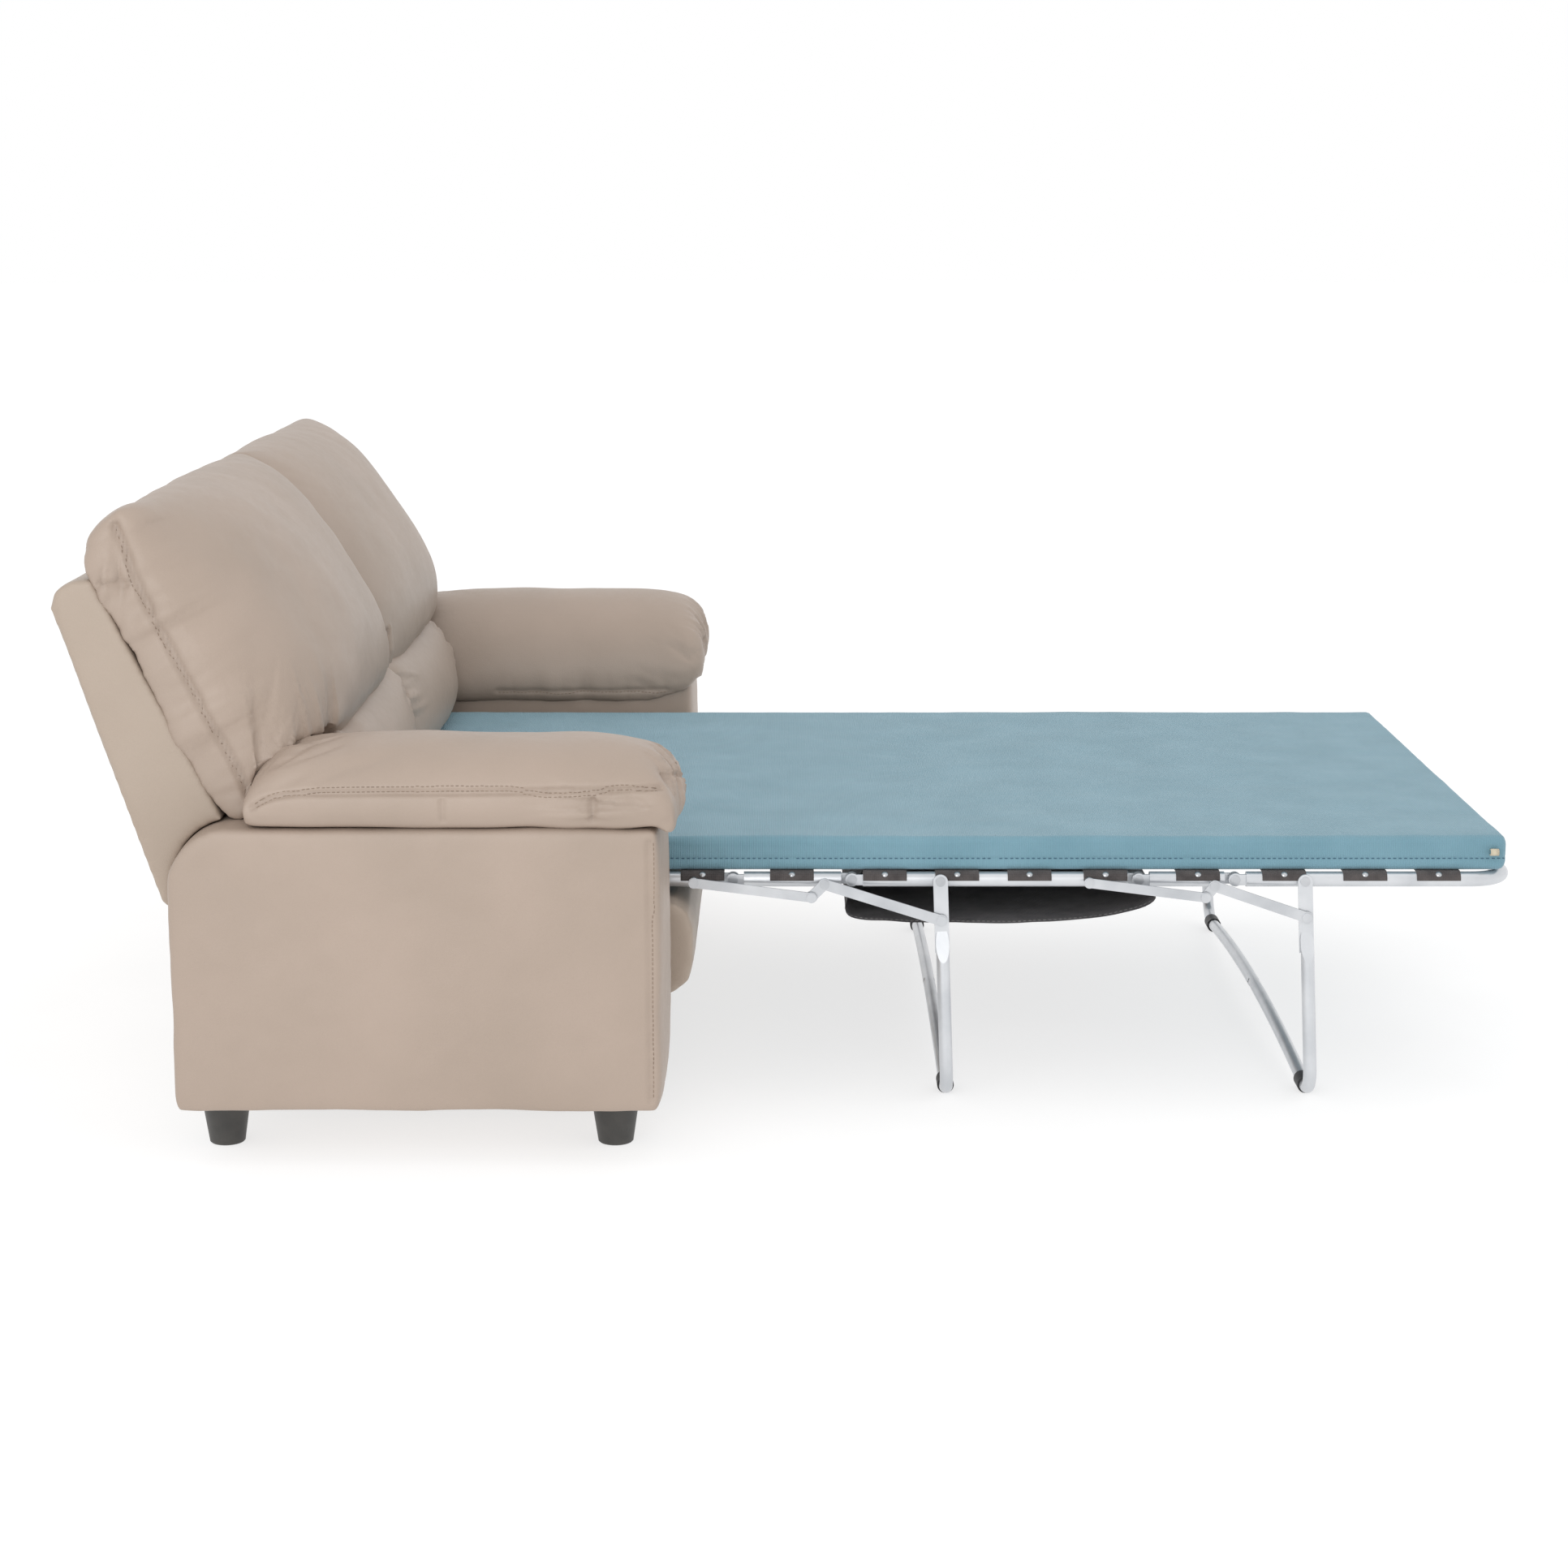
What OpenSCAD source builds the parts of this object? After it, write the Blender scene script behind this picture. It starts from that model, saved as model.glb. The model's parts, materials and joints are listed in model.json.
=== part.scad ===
/* [Sofa body] */
// Overall width over both arms
sofa_w = 1950; // [1850:10:2100]
// Width of one arm box
arm_w = 310; // [260:5:320]
// Clear height under the arm boxes
foot_h = 90; // [70:1:110]
// Front face of the arm boxes, measured from the middle of the length
front_y = 238; // [225:1:250]
// Rear face of the arm boxes
rear_y = 988; // [980:1:1000]
// Height of the arm boxes' flat top
arm_top = 536; // [500:1:545]
// Height of the crest of the arm pads
pad_top = 656; // [620:1:680]
// Radius of the arm boxes' rear top corner
arm_corner = 98; // [60:1:110]
// Inset of the back from the arms' outer faces
back_inset = 69; // [50:1:90]
// Radius of a foot at its top
foot_r = 42; // [35:1:48]

/* [Bed] */
// Width of the mattress
mattress_w = 1200; // [1100:10:1240]
// Thickness of the mattress
mattress_t = 57.5; // [50:0.5:60]
// Height of the tube frame's centre line
rail_z = 372.5; // [365:0.5:375]
// Radius of the frame tube
tube_r = 12.5; // [11:0.5:13]
// Distance between the two side tubes' centre lines
rail_gauge = 1192; // [1190:1:1194]
// Place of the first folding hinge
hinge_y = 129; // [120:1:135]
// Length of the first riser between its two hinges
riser_1_l = 196; // [190:1:200]
// Length of the middle section between its two hinges
mid_l = 472; // [465:1:480]
// Length of the second riser between its two hinges
riser_2_l = 159; // [155:1:162]
// Foot end of the tube frame
foot_end_y = -1161; // [-1170:1:-1155]
// Width of one belt
belt_w = 72; // [60:1:74]
// Radius of the leg tube
leg_r = 11; // [9:0.5:11]

/* [Hidden] */
$fn = 64;

// arms and back
arm_out = sofa_w / 2;
arm_in = arm_out - arm_w;
back_x = arm_out - back_inset;
pad_front_y = front_y - 26;
pad_rear_y = 866;
pad_drape_z = 452;
pad_skin = 6;
fit_gap = 1;
soft_gap = 2;
cushion_gap = 3;

// places of the folding hinges, from the head to the foot
h1 = hinge_y;
h2 = h1 - riser_1_l;
h3 = h2 - mid_l;
h4 = h3 - riser_2_l;

// frame tubes and belts
rail_x = rail_gauge / 2;
rail_out = rail_x + tube_r;
tube_wall = 1.5;
tube_cap = 3;
tube_cut = 18;
bend_r = 62;
head_end_y = 765;
belt_t = 2;
belt_z = rail_z + tube_r;
head_belts_y = [179, 302, 421, 540, 659];
riser_1_belts_y = [32];
mid_belts_y = [-121, -240, -359, -484];
riser_2_belts_y = [-636];
foot_belts_y = [-778, -911, -1032];

// hinge plates
plate_t = 4;
plate_r = 11;
plate_waist = 9;
plate_in_x = rail_x - 8;
plate_out_x = rail_x + 4;
plate_reach = 38;
pin_r = 4;
pin_head_r = 8;
pin_head_t = 2;
run_gap = 0.06;

// side planes of the fold linkage, counted outward from the side tube
lug_x = 614;
lug_t = 3.5;
crank_x = 620;
link_x = 625;
bar_t = 3;
bar_waist = 0.88;
crank_r = 10;
link_r = 9;
leg_x = lug_x + leg_r;
spacer_r = 7;
spacer_x = rail_x + 8;

// pivots of the fold linkage, as depth and height
p1 = [193, rail_z];
g1 = [-21.5, 369];
a1 = [0, 348];
b1 = [-214, 308];
l1 = [-212, rail_z];
p2 = [-456, rail_z];
g2 = [-662, 366];
a2 = [-647, 348];
b2 = [-815, 313];
l2 = [-811, rail_z];

// belt rivets
rivet_r = 5;
rivet_h = 2;
rivet_shank_r = 2;
rivet_lean = 45;
rivet_seat = tube_r + belt_t;
rivet_root = 8;

// mattress
mattress_z = belt_z + belt_t + 0.3;
mattress_top = mattress_z + mattress_t;
mattress_head_y = 750;
mattress_foot_y = -1144;
mitre_gap = 1;

// brackets between the arms and the head section
bracket_ys = [262, 579];
bracket_shelf = 40;
bracket_lead = 18;
bracket_l = 120;
bracket_h = 68;
bolt_pitch = 84;
bolt_rise = 20;
bolt_r = 6;
bolt_t = 4;

// legs
leg_bend_r = 45;
leg_base_z = 14;
leg_tilt_1 = 2.2;
leg_tilt_2 = 3;
leg_stub_x = 548;
leg_lug_w = 24;
leg_lug_l = 120;
leg_flat_top = -84;
leg_flat_end = -136;
arch_rise = 25;
arch_fn = 1440;
arch_half = leg_stub_x - 2;
collar_r = 14;
collar_x = 538;
collar_l = 40;

// parts of the box between the arms
board_top = 345;
board_seam = 190;
board_t = 40;
board_swell = 44;
plinth_t = 12;
plinth_back = 14;
rail_wood_t = 22;
rear_panel_t = 33;
dust_t = 3;

module both_sides() {
    children();
    mirror([1, 0, 0]) children();
}

// turns a profile drawn in depth and height into a slab that spans from x to x + w
module slab(x, w) {
    translate([x, 0, 0]) rotate([90, 0, 90]) linear_extrude(w) children();
}

module tube_x(x, y, z, r, l) {
    translate([x, y, z]) rotate([0, 90, 0]) cylinder(r = r, h = l);
}

// a capped steel tube along the depth, from y0 to y1
module tube_y(x, y0, y1) {
    translate([x, y1, rail_z]) rotate([90, 0, 0]) difference() {
        cylinder(r = tube_r, h = y1 - y0);
        translate([0, 0, tube_cap]) cylinder(r = tube_r - tube_wall, h = y1 - y0 - 2 * tube_cap);
    }
}

// ---- upholstered body ----

module arm_outline(grow = 0) {
    top = arm_top + grow;
    rear = rear_y + grow;
    union() {
        translate([front_y, foot_h]) square([rear - arm_corner - front_y, top - foot_h]);
        translate([front_y, foot_h]) square([rear - front_y, top - arm_corner - foot_h]);
        translate([rear - arm_corner, top - arm_corner]) circle(r = arm_corner);
    }
}

module arm(side) {
    color("#c6b4a3") mirror([side < 0 ? 1 : 0, 0, 0]) slab(arm_in, arm_w) arm_outline();
}

// the pad lies over the arm box and hangs a little way down its inner side
module arm_pad(side) {
    inner = arm_in - pad_skin;
    outer = arm_out - 4;
    crest = arm_in + arm_w * 0.62;
    color("#c6b4a3") mirror([side < 0 ? 1 : 0, 0, 0])
        translate([0, pad_rear_y, 0]) rotate([90, 0, 0]) linear_extrude(pad_rear_y - pad_front_y)
            polygon([[inner, pad_drape_z], [arm_in - 0.5, pad_drape_z], [arm_in - 0.5, arm_top + 0.5],
                     [outer, arm_top + 0.5], [outer - 6, arm_top + 40], [outer - 38, pad_top - 26],
                     [crest + 22, pad_top - 3], [crest - 40, pad_top], [arm_in + 70, pad_top - 14],
                     [arm_in + 24, pad_top - 48], [inner, pad_top - 92]]);
}

module back_shell() {
    color("#b9a795") difference() {
        slab(-back_x, 2 * back_x)
            polygon([[1005.5, 400], [1161, 865], [1155, 888], [1136, 903], [1098, 912],
                     [915, 550], [868, 455], [860, 400]]);
        both_sides() slab(arm_in - fit_gap, arm_w + 50) arm_outline(fit_gap);
        slab(-arm_in, 2 * arm_in) translate([800, 300]) square([400, 141]);
    }
}

module rear_panel() {
    color("#b9a795") slab(-arm_in + fit_gap, 2 * (arm_in - fit_gap))
        translate([rear_y - rear_panel_t, foot_h]) square([rear_panel_t, 350 - fit_gap]);
}

module back_cushion(side) {
    color("#c6b4a3") mirror([side < 0 ? 1 : 0, 0, 0]) slab(cushion_gap, back_x - cushion_gap)
        polygon([[926, 582], [1092, 932], [1098, 975], [1053, 1034], [960, 1030], [880, 985],
                 [826, 925], [780, 860], [745, 800], [738, 720], [752, 664], [878, 664], [882, 590]]);
}

module lumbar_cushion(side) {
    color("#c6b4a3") mirror([side < 0 ? 1 : 0, 0, 0])
        slab(cushion_gap, arm_in - pad_skin - soft_gap - cushion_gap)
            polygon([[712, 448], [702, 470], [703, 600], [728, 650], [760, 660],
                     [874, 660], [877, 586], [860, 470], [856, 448]]);
}

module front_board() {
    face_y = front_y - board_swell;
    color("#a89788") slab(-arm_in + fit_gap, 2 * (arm_in - fit_gap))
        polygon([[front_y + board_t, board_top - 2], [face_y + 32, board_top],
                 [face_y + 10, board_top - 14], [face_y, board_top - 45], [face_y, board_seam + 60],
                 [face_y + 8, board_seam + 26], [front_y - 12, board_seam + 6],
                 [front_y + 14, board_seam + 1], [front_y + board_t, board_seam + 1]]);
}

module front_plinth() {
    color("#a89788") slab(-arm_in + fit_gap, 2 * (arm_in - fit_gap))
        translate([front_y + plinth_back, foot_h]) square([plinth_t, board_seam - foot_h]);
}

module front_rail() {
    color("#c9a777") slab(-arm_in + fit_gap, 2 * (arm_in - fit_gap))
        translate([front_y + board_t, foot_h + dust_t]) square([rail_wood_t, 245]);
}

module rear_rail() {
    color("#c9a777") slab(-arm_in + fit_gap, 2 * (arm_in - fit_gap))
        translate([rear_y - rear_panel_t - rail_wood_t, foot_h + dust_t]) square([rail_wood_t, 300]);
}

module dust_cover() {
    y0 = front_y + board_t;
    color("#2a2a2c") slab(-arm_in + fit_gap, 2 * (arm_in - fit_gap))
        translate([y0, foot_h]) square([rear_y - rear_panel_t - y0, dust_t]);
}

// a tapered plastic cup with a narrow waist line under its collar
module cup_foot(side, y) {
    color("#3a3a3a") translate([side * (arm_out - 139), y, 0]) rotate_extrude()
        polygon([[0, 0], [foot_r - 16, 0], [foot_r - 14, 2], [foot_r - 3, foot_h - 14],
                 [foot_r - 4, foot_h - 12], [foot_r, foot_h - 10], [foot_r, foot_h], [0, foot_h]]);
}

// ---- shared pieces of the fold frame ----

// a flat bar between two pivots, with round ends a little wider than its waist
module bar(p, q, r) {
    d = q - p;
    waist = r * bar_waist;
    union() {
        translate(p) circle(r = r);
        translate(q) circle(r = r);
        translate(p) rotate(atan2(d[1], d[0])) translate([0, -waist]) square([norm(d), 2 * waist]);
    }
}

// the plate that carries a hinge: y is the hinge's place, dir points into its own section
module hinge_plate(x, y, dir, bore) {
    slab(x, plate_t) difference() {
        union() {
            translate([y, rail_z]) circle(r = plate_r);
            translate([dir > 0 ? y : y - plate_reach, rail_z - plate_waist])
                square([plate_reach, 2 * plate_waist]);
        }
        translate([y, rail_z]) circle(r = bore);
    }
}

// a hinge pin with a head on each side of the two plates
module hinge_pin(y) {
    color("#b9bcc0") both_sides() {
        tube_x(plate_in_x, y, rail_z, pin_r, plate_out_x + plate_t - plate_in_x);
        tube_x(plate_in_x - pin_head_t, y, rail_z, pin_head_r, pin_head_t);
        tube_x(plate_out_x + plate_t, y, rail_z, pin_head_r, pin_head_t);
    }
}

// a shouldered rivet that holds a bar off the side tube
module stud(p, bar_x, thick, head_t) {
    color("#b9bcc0") both_sides() {
        tube_x(rail_x - 2, p[0], p[1], pin_r, bar_x + thick - rail_x + 2);
        tube_x(spacer_x, p[0], p[1], spacer_r, bar_x - 0.2 - spacer_x);
        tube_x(bar_x + thick + 0.1, p[0], p[1], pin_head_r, head_t);
    }
}

// what the studs and belt rivets remove from tubes and belts
module stud_cut(p) {
    both_sides() {
        tube_x(rail_x - 2, p[0], p[1], pin_r, 2 * tube_r);
        tube_x(spacer_x, p[0], p[1], spacer_r, tube_r);
    }
}

// stands on the side tube's axis with x pointing up and outward, where the rivets sit
module on_rivet_line(y) {
    translate([rail_x, y, rail_z]) rotate([0, -rivet_lean, 0]) children();
}

module rivet_cut(ys) {
    both_sides() for (y = ys) on_rivet_line(y) tube_x(rivet_root, 0, 0, rivet_shank_r, tube_r);
}

module rivets(ys) {
    dome_r = (rivet_r * rivet_r + rivet_h * rivet_h) / (2 * rivet_h);
    color("#c4c7ca") both_sides() for (y = ys) on_rivet_line(y) {
        tube_x(rivet_root, 0, 0, rivet_shank_r, rivet_seat - rivet_root);
        translate([rivet_seat, 0, 0]) intersection() {
            translate([rivet_h - dome_r, 0, 0]) sphere(r = dome_r);
            translate([0, -rivet_r, -rivet_r]) cube(2 * rivet_r);
        }
    }
}

// belts run from side tube to side tube and lie over the upper outer quarter of each
module belts(ys, studs = []) {
    wrap_r = tube_r + belt_t;
    color("#4a4646") difference() {
        for (y = ys) union() {
            translate([-rail_x, y - belt_w / 2, belt_z]) cube([2 * rail_x, belt_w, belt_t]);
            both_sides() translate([rail_x, y + belt_w / 2, rail_z]) rotate([90, 0, 0]) intersection() {
                difference() {
                    cylinder(r = wrap_r, h = belt_w);
                    translate([0, 0, -1]) cylinder(r = tube_r, h = belt_w + 2);
                }
                cube([wrap_r, wrap_r, belt_w]);
            }
        }
        rivet_cut(ys);
        for (p = studs) both_sides() tube_x(spacer_x, p[0], p[1], spacer_r + 0.2, tube_r);
    }
}

// rounds the frame's end with two bends and a cross tube; dir points to the end
module end_bow(y_end, dir) {
    y0 = y_end - dir * (tube_r + bend_r);
    both_sides() translate([rail_x - bend_r, y0, rail_z]) mirror([0, dir > 0 ? 0 : 1, 0])
        rotate_extrude(angle = 90) translate([bend_r, 0]) circle(r = tube_r);
    tube_x(-rail_x + bend_r, y_end - dir * tube_r, rail_z, tube_r, 2 * (rail_x - bend_r));
}

// a mattress block whose ends slope away from the hinges so that it can fold
module mattress_block(y_foot, y_head, mitre_foot, mitre_head) {
    low = mattress_z - rail_z + mitre_gap;
    high = mattress_top - rail_z + mitre_gap;
    color("#6f9fb5") slab(-mattress_w / 2, mattress_w)
        polygon([[y_foot + (mitre_foot ? low : 0), mattress_z], [y_head - (mitre_head ? low : 0), mattress_z],
                 [y_head - (mitre_head ? high : 0), mattress_top],
                 [y_foot + (mitre_foot ? high : 0), mattress_top]]);
}

// ---- head section, fixed in the sofa ----

module bracket(side) {
    face_x = arm_in - pad_skin - plate_t;
    shelf_x = rail_x - tube_r;
    color("#8d9094") mirror([side < 0 ? 1 : 0, 0, 0]) for (y = bracket_ys) {
        translate([face_x, y - bracket_lead, board_top + 2]) cube([plate_t, bracket_l, bracket_h]);
        translate([shelf_x, y, rail_z - tube_r - plate_t])
            cube([face_x - shelf_x, bracket_shelf, plate_t - 0.1]);
    }
}

module mount_bolts() {
    x = arm_in - pad_skin - plate_t - bolt_t;
    color("#b9bcc0") both_sides() for (y = bracket_ys, along = [0, bolt_pitch])
        tube_x(x, y + along, rail_z + bolt_rise, bolt_r, bolt_t);
}

module head_frame() {
    color("#c3c6c9") difference() {
        union() {
            both_sides() tube_y(rail_x, h1 + tube_cut, head_end_y - tube_r - bend_r);
            end_bow(head_end_y, 1);
            both_sides() hinge_plate(plate_in_x, h1, 1, pin_r);
        }
        stud_cut(p1);
        rivet_cut(head_belts_y);
    }
}

module head_belts() { belts(head_belts_y, [p1]); }

module head_rivets() { rivets(head_belts_y); }

module head_pins() {
    hinge_pin(h1);
    stud(p1, link_x, bar_t, pin_head_t);
}

module mattress_head() { mattress_block(h1, mattress_head_y, true, false); }

// ---- risers ----

module riser_rails(y_foot, y_head, studs, ys) {
    color("#c3c6c9") difference() {
        both_sides() union() {
            tube_y(rail_x, y_foot + tube_cut, y_head - tube_cut);
            hinge_plate(plate_out_x, y_head, -1, pin_r + run_gap);
            hinge_plate(plate_in_x, y_foot, 1, pin_r);
        }
        for (p = studs) stud_cut(p);
        rivet_cut(ys);
    }
}

module riser_1_rails() { riser_rails(h2, h1, [g1], riser_1_belts_y); }

module riser_1_belt() { belts(riser_1_belts_y); }

module riser_1_pins() {
    hinge_pin(h2);
    stud(g1, crank_x, bar_t, 1.5);
    rivets(riser_1_belts_y);
}

module mattress_riser_1() { mattress_block(h2, h1, true, true); }

module riser_2_rails() { riser_rails(h4, h3, [g2], riser_2_belts_y); }

module riser_2_belt() { belts(riser_2_belts_y, [g2]); }

module riser_2_pins() {
    hinge_pin(h4);
    stud(g2, crank_x, bar_t, 1.5);
    rivets(riser_2_belts_y);
}

module mattress_riser_2() { mattress_block(h4, h3, true, true); }

// ---- middle section ----

module mid_rails() {
    color("#c3c6c9") difference() {
        both_sides() union() {
            tube_y(rail_x, h3 + tube_cut, h2 - tube_cut);
            hinge_plate(plate_out_x, h2, -1, pin_r + run_gap);
            hinge_plate(plate_in_x, h3, 1, pin_r);
        }
        stud_cut(l1);
        stud_cut(p2);
        rivet_cut(mid_belts_y);
    }
}

module mid_belts() { belts(mid_belts_y, [l1, p2]); }

module mid_rivets() { rivets(mid_belts_y); }

module mid_pins() {
    hinge_pin(h3);
    stud(l1, lug_x, lug_t, pin_head_t);
    stud(p2, link_x, bar_t, pin_head_t);
}

// a fabric tray hung under the middle belts
module sling() {
    outer = [[-87, belt_z], [-60, 340], [-58, 302], [-130, 293], [-216, 291], [-360, 291],
             [-493, 303], [-578, 335], [-516, belt_z]];
    inner = [[-90, belt_z], [-62, 340], [-60, 304], [-130, 295], [-216, 293], [-360, 293],
             [-492, 305], [-573, 335.5], [-512, belt_z]];
    n = len(inner);
    color("#3b3a3c") slab(-rail_x + 26, 2 * (rail_x - 26))
        polygon(concat(outer, [for (i = [n - 1:-1:0]) inner[i]]));
}

module mattress_mid() { mattress_block(h3, h2, true, true); }

// ---- foot section ----

module foot_frame() {
    color("#c3c6c9") difference() {
        union() {
            both_sides() tube_y(rail_x, foot_end_y + tube_r + bend_r, h4 - tube_cut);
            end_bow(foot_end_y, -1);
            both_sides() hinge_plate(plate_out_x, h4, -1, pin_r + run_gap);
        }
        stud_cut(l2);
        rivet_cut(foot_belts_y);
    }
}

module foot_belts() { belts(foot_belts_y, [l2]); }

module foot_rivets() { rivets(foot_belts_y); }

module foot_pins() { stud(l2, lug_x, lug_t, pin_head_t); }

module mattress_foot() { mattress_block(mattress_foot_y, h4, false, true); }

// ---- floor legs ----

// places a leg drawn hanging from its own pivot
module leg_place(p, tilt) {
    translate([0, p[0], p[1]]) rotate([-tilt, 0, 0]) children();
}

function leg_drop(tilt) = (rail_z - leg_base_z) / cos(tilt);

module leg_side(side, p, tilt) {
    drop = leg_drop(tilt);
    color("#c3c6c9") leg_place(p, tilt) mirror([side < 0 ? 1 : 0, 0, 0]) {
        difference() {
            union() {
                slab(lug_x, lug_t) union() {
                    circle(r = leg_lug_w / 2);
                    translate([-leg_lug_w / 2, -leg_lug_l]) square([leg_lug_w, leg_lug_l]);
                }
                difference() {
                    translate([leg_x, 0, -drop + leg_bend_r])
                        cylinder(r = leg_r, h = drop - leg_bend_r + leg_flat_top);
                    translate([0, leg_lug_w, 0]) rotate([90, 0, 0]) linear_extrude(2 * leg_lug_w)
                        polygon([[lug_x + lug_t, 0], [lug_x + lug_t, leg_flat_top],
                                 [leg_x + leg_r + 1, leg_flat_end], [leg_x + leg_r + 1, 0]]);
                }
                translate([leg_x - leg_bend_r, 0, -drop + leg_bend_r]) rotate([90, 0, 0])
                    rotate_extrude(angle = -90) translate([leg_bend_r, 0]) circle(r = leg_r);
                tube_x(leg_stub_x, 0, -drop, leg_r, leg_x - leg_bend_r - leg_stub_x);
            }
            tube_x(lug_x - 1, 0, 0, pin_r + run_gap, lug_t + 2);
        }
    }
}

// the cross tube bows up in the middle and has one small hole there
module leg_crossbar(p, tilt) {
    arch_r = (arch_half * arch_half + arch_rise * arch_rise) / (2 * arch_rise);
    arch_a = asin(arch_half / arch_r);
    color("#c3c6c9") leg_place(p, tilt)
        translate([0, 0, -leg_drop(tilt) + arch_rise - arch_r]) difference() {
            rotate([90, 0, 0]) rotate([0, 0, 90 - arch_a]) rotate_extrude(angle = 2 * arch_a, $fn = arch_fn)
                translate([arch_r, 0]) circle(r = leg_r, $fn = 64);
            translate([0, 2 * leg_r, arch_r]) rotate([90, 0, 0]) cylinder(r = 3, h = 4 * leg_r);
        }
}

module leg_collars(p, tilt) {
    color("#26262a") leg_place(p, tilt) both_sides() difference() {
        tube_x(collar_x, 0, -leg_drop(tilt), collar_r, collar_l);
        tube_x(collar_x - 1, 0, -leg_drop(tilt), leg_r, collar_l + 2);
        tube_x(collar_x - 1, 0, -leg_drop(tilt) + 0.6, leg_r + 1.6, leg_stub_x - collar_x + 1);
    }
}

// ---- fold linkage ----

// one pressed plate with a short and a long arm, turning on a stud of its riser
module crank(g, a, b) {
    color("#b4b7ba") both_sides() slab(crank_x, bar_t) difference() {
        union() {
            bar(g, a, crank_r);
            bar(g, b, crank_r);
        }
        translate(g) circle(r = pin_r + run_gap);
    }
    color("#b9bcc0") both_sides() tube_x(crank_x + bar_t, b[0], b[1], pin_head_r, 1.5);
}

module link(p, a) {
    color("#b4b7ba") both_sides() slab(link_x, bar_t) difference() {
        bar(p, a, link_r);
        translate(p) circle(r = pin_r + run_gap);
    }
    color("#b9bcc0") both_sides() tube_x(link_x + bar_t, a[0], a[1], pin_head_r, pin_head_t);
}

arm(-1);  // arm_left
arm(1);  // arm_right
arm_pad(-1);  // arm_pad_left
arm_pad(1);  // arm_pad_right
back_shell();
rear_panel();
back_cushion(-1);  // back_cushion_left
back_cushion(1);  // back_cushion_right
lumbar_cushion(-1);  // lumbar_cushion_left
lumbar_cushion(1);  // lumbar_cushion_right
front_board();
front_plinth();
front_rail();
rear_rail();
dust_cover();
cup_foot(-1, 313);  // foot_front_left
cup_foot(1, 313);  // foot_front_right
cup_foot(-1, 932);  // foot_rear_left
cup_foot(1, 932);  // foot_rear_right
bracket(-1);  // mount_bracket_left
bracket(1);  // mount_bracket_right
mount_bolts();
head_frame();
head_belts();
head_rivets();
head_pins();
mattress_head();
riser_1_rails();
riser_1_belt();
riser_1_pins();
mattress_riser_1();
mid_rails();
mid_belts();
mid_rivets();
mid_pins();
sling();
mattress_mid();
riser_2_rails();
riser_2_belt();
riser_2_pins();
mattress_riser_2();
foot_frame();
foot_belts();
foot_rivets();
foot_pins();
mattress_foot();
leg_side(-1, l1, leg_tilt_1);  // leg_1_left
leg_side(1, l1, leg_tilt_1);  // leg_1_right
leg_crossbar(l1, leg_tilt_1);  // leg_1_crossbar
leg_collars(l1, leg_tilt_1);  // leg_1_collars
leg_side(-1, l2, leg_tilt_2);  // leg_2_left
leg_side(1, l2, leg_tilt_2);  // leg_2_right
leg_crossbar(l2, leg_tilt_2);  // leg_2_crossbar
leg_collars(l2, leg_tilt_2);  // leg_2_collars
crank(g1, a1, b1);  // crank_1
link(p1, a1);  // link_1
crank(g2, a2, b2);  // crank_2
link(p2, a2);  // link_2
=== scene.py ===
import json
import math

import bpy
import numpy as np
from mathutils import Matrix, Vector, noise
from mathutils.bvhtree import BVHTree
from mathutils.kdtree import KDTree


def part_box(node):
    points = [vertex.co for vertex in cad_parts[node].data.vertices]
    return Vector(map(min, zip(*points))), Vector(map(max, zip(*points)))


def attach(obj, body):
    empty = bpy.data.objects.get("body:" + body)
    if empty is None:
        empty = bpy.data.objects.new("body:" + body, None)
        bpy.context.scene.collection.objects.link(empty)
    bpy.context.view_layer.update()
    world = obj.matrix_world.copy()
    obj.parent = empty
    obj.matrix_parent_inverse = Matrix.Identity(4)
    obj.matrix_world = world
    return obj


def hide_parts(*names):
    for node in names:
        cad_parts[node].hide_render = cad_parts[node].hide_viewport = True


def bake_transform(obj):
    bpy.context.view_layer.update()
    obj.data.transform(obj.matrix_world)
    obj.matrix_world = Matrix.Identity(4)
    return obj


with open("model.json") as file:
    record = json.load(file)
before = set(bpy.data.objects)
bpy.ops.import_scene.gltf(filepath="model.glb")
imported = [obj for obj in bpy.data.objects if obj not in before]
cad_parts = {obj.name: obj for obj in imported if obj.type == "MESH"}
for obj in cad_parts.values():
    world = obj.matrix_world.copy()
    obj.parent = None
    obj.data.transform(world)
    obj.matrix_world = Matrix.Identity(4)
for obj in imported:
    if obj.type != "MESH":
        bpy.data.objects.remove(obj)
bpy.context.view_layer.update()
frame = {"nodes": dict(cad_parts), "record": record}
nodes = frame["nodes"]

# ---- places taken from the CAD frame ----

ARM_LOW, ARM_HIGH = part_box("arm_right")
_, PAD_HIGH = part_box("arm_pad_right")
BOARD_LOW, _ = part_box("front_board")
BED_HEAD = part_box("mattress_head")
BED_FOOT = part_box("mattress_foot")
_, SLING_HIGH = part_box("sling")
GAP = 0.003             # from the middle plane to the inner side of each back and lumbar cushion


# ---- small tools ----

def rgb(red, green, blue):
    """A colour from its 0 to 255 screen values, as the linear values that a shader takes."""
    out = []
    for value in (red, green, blue):
        value /= 255
        out.append(value / 12.92 if value <= 0.04045 else ((value + 0.055) / 1.055) ** 2.4)
    return (*out, 1.0)


def smoothstep(low, high, value):
    t = np.clip((value - low) / (high - low), 0, 1)
    return t * t * (3 - 2 * t)


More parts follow.
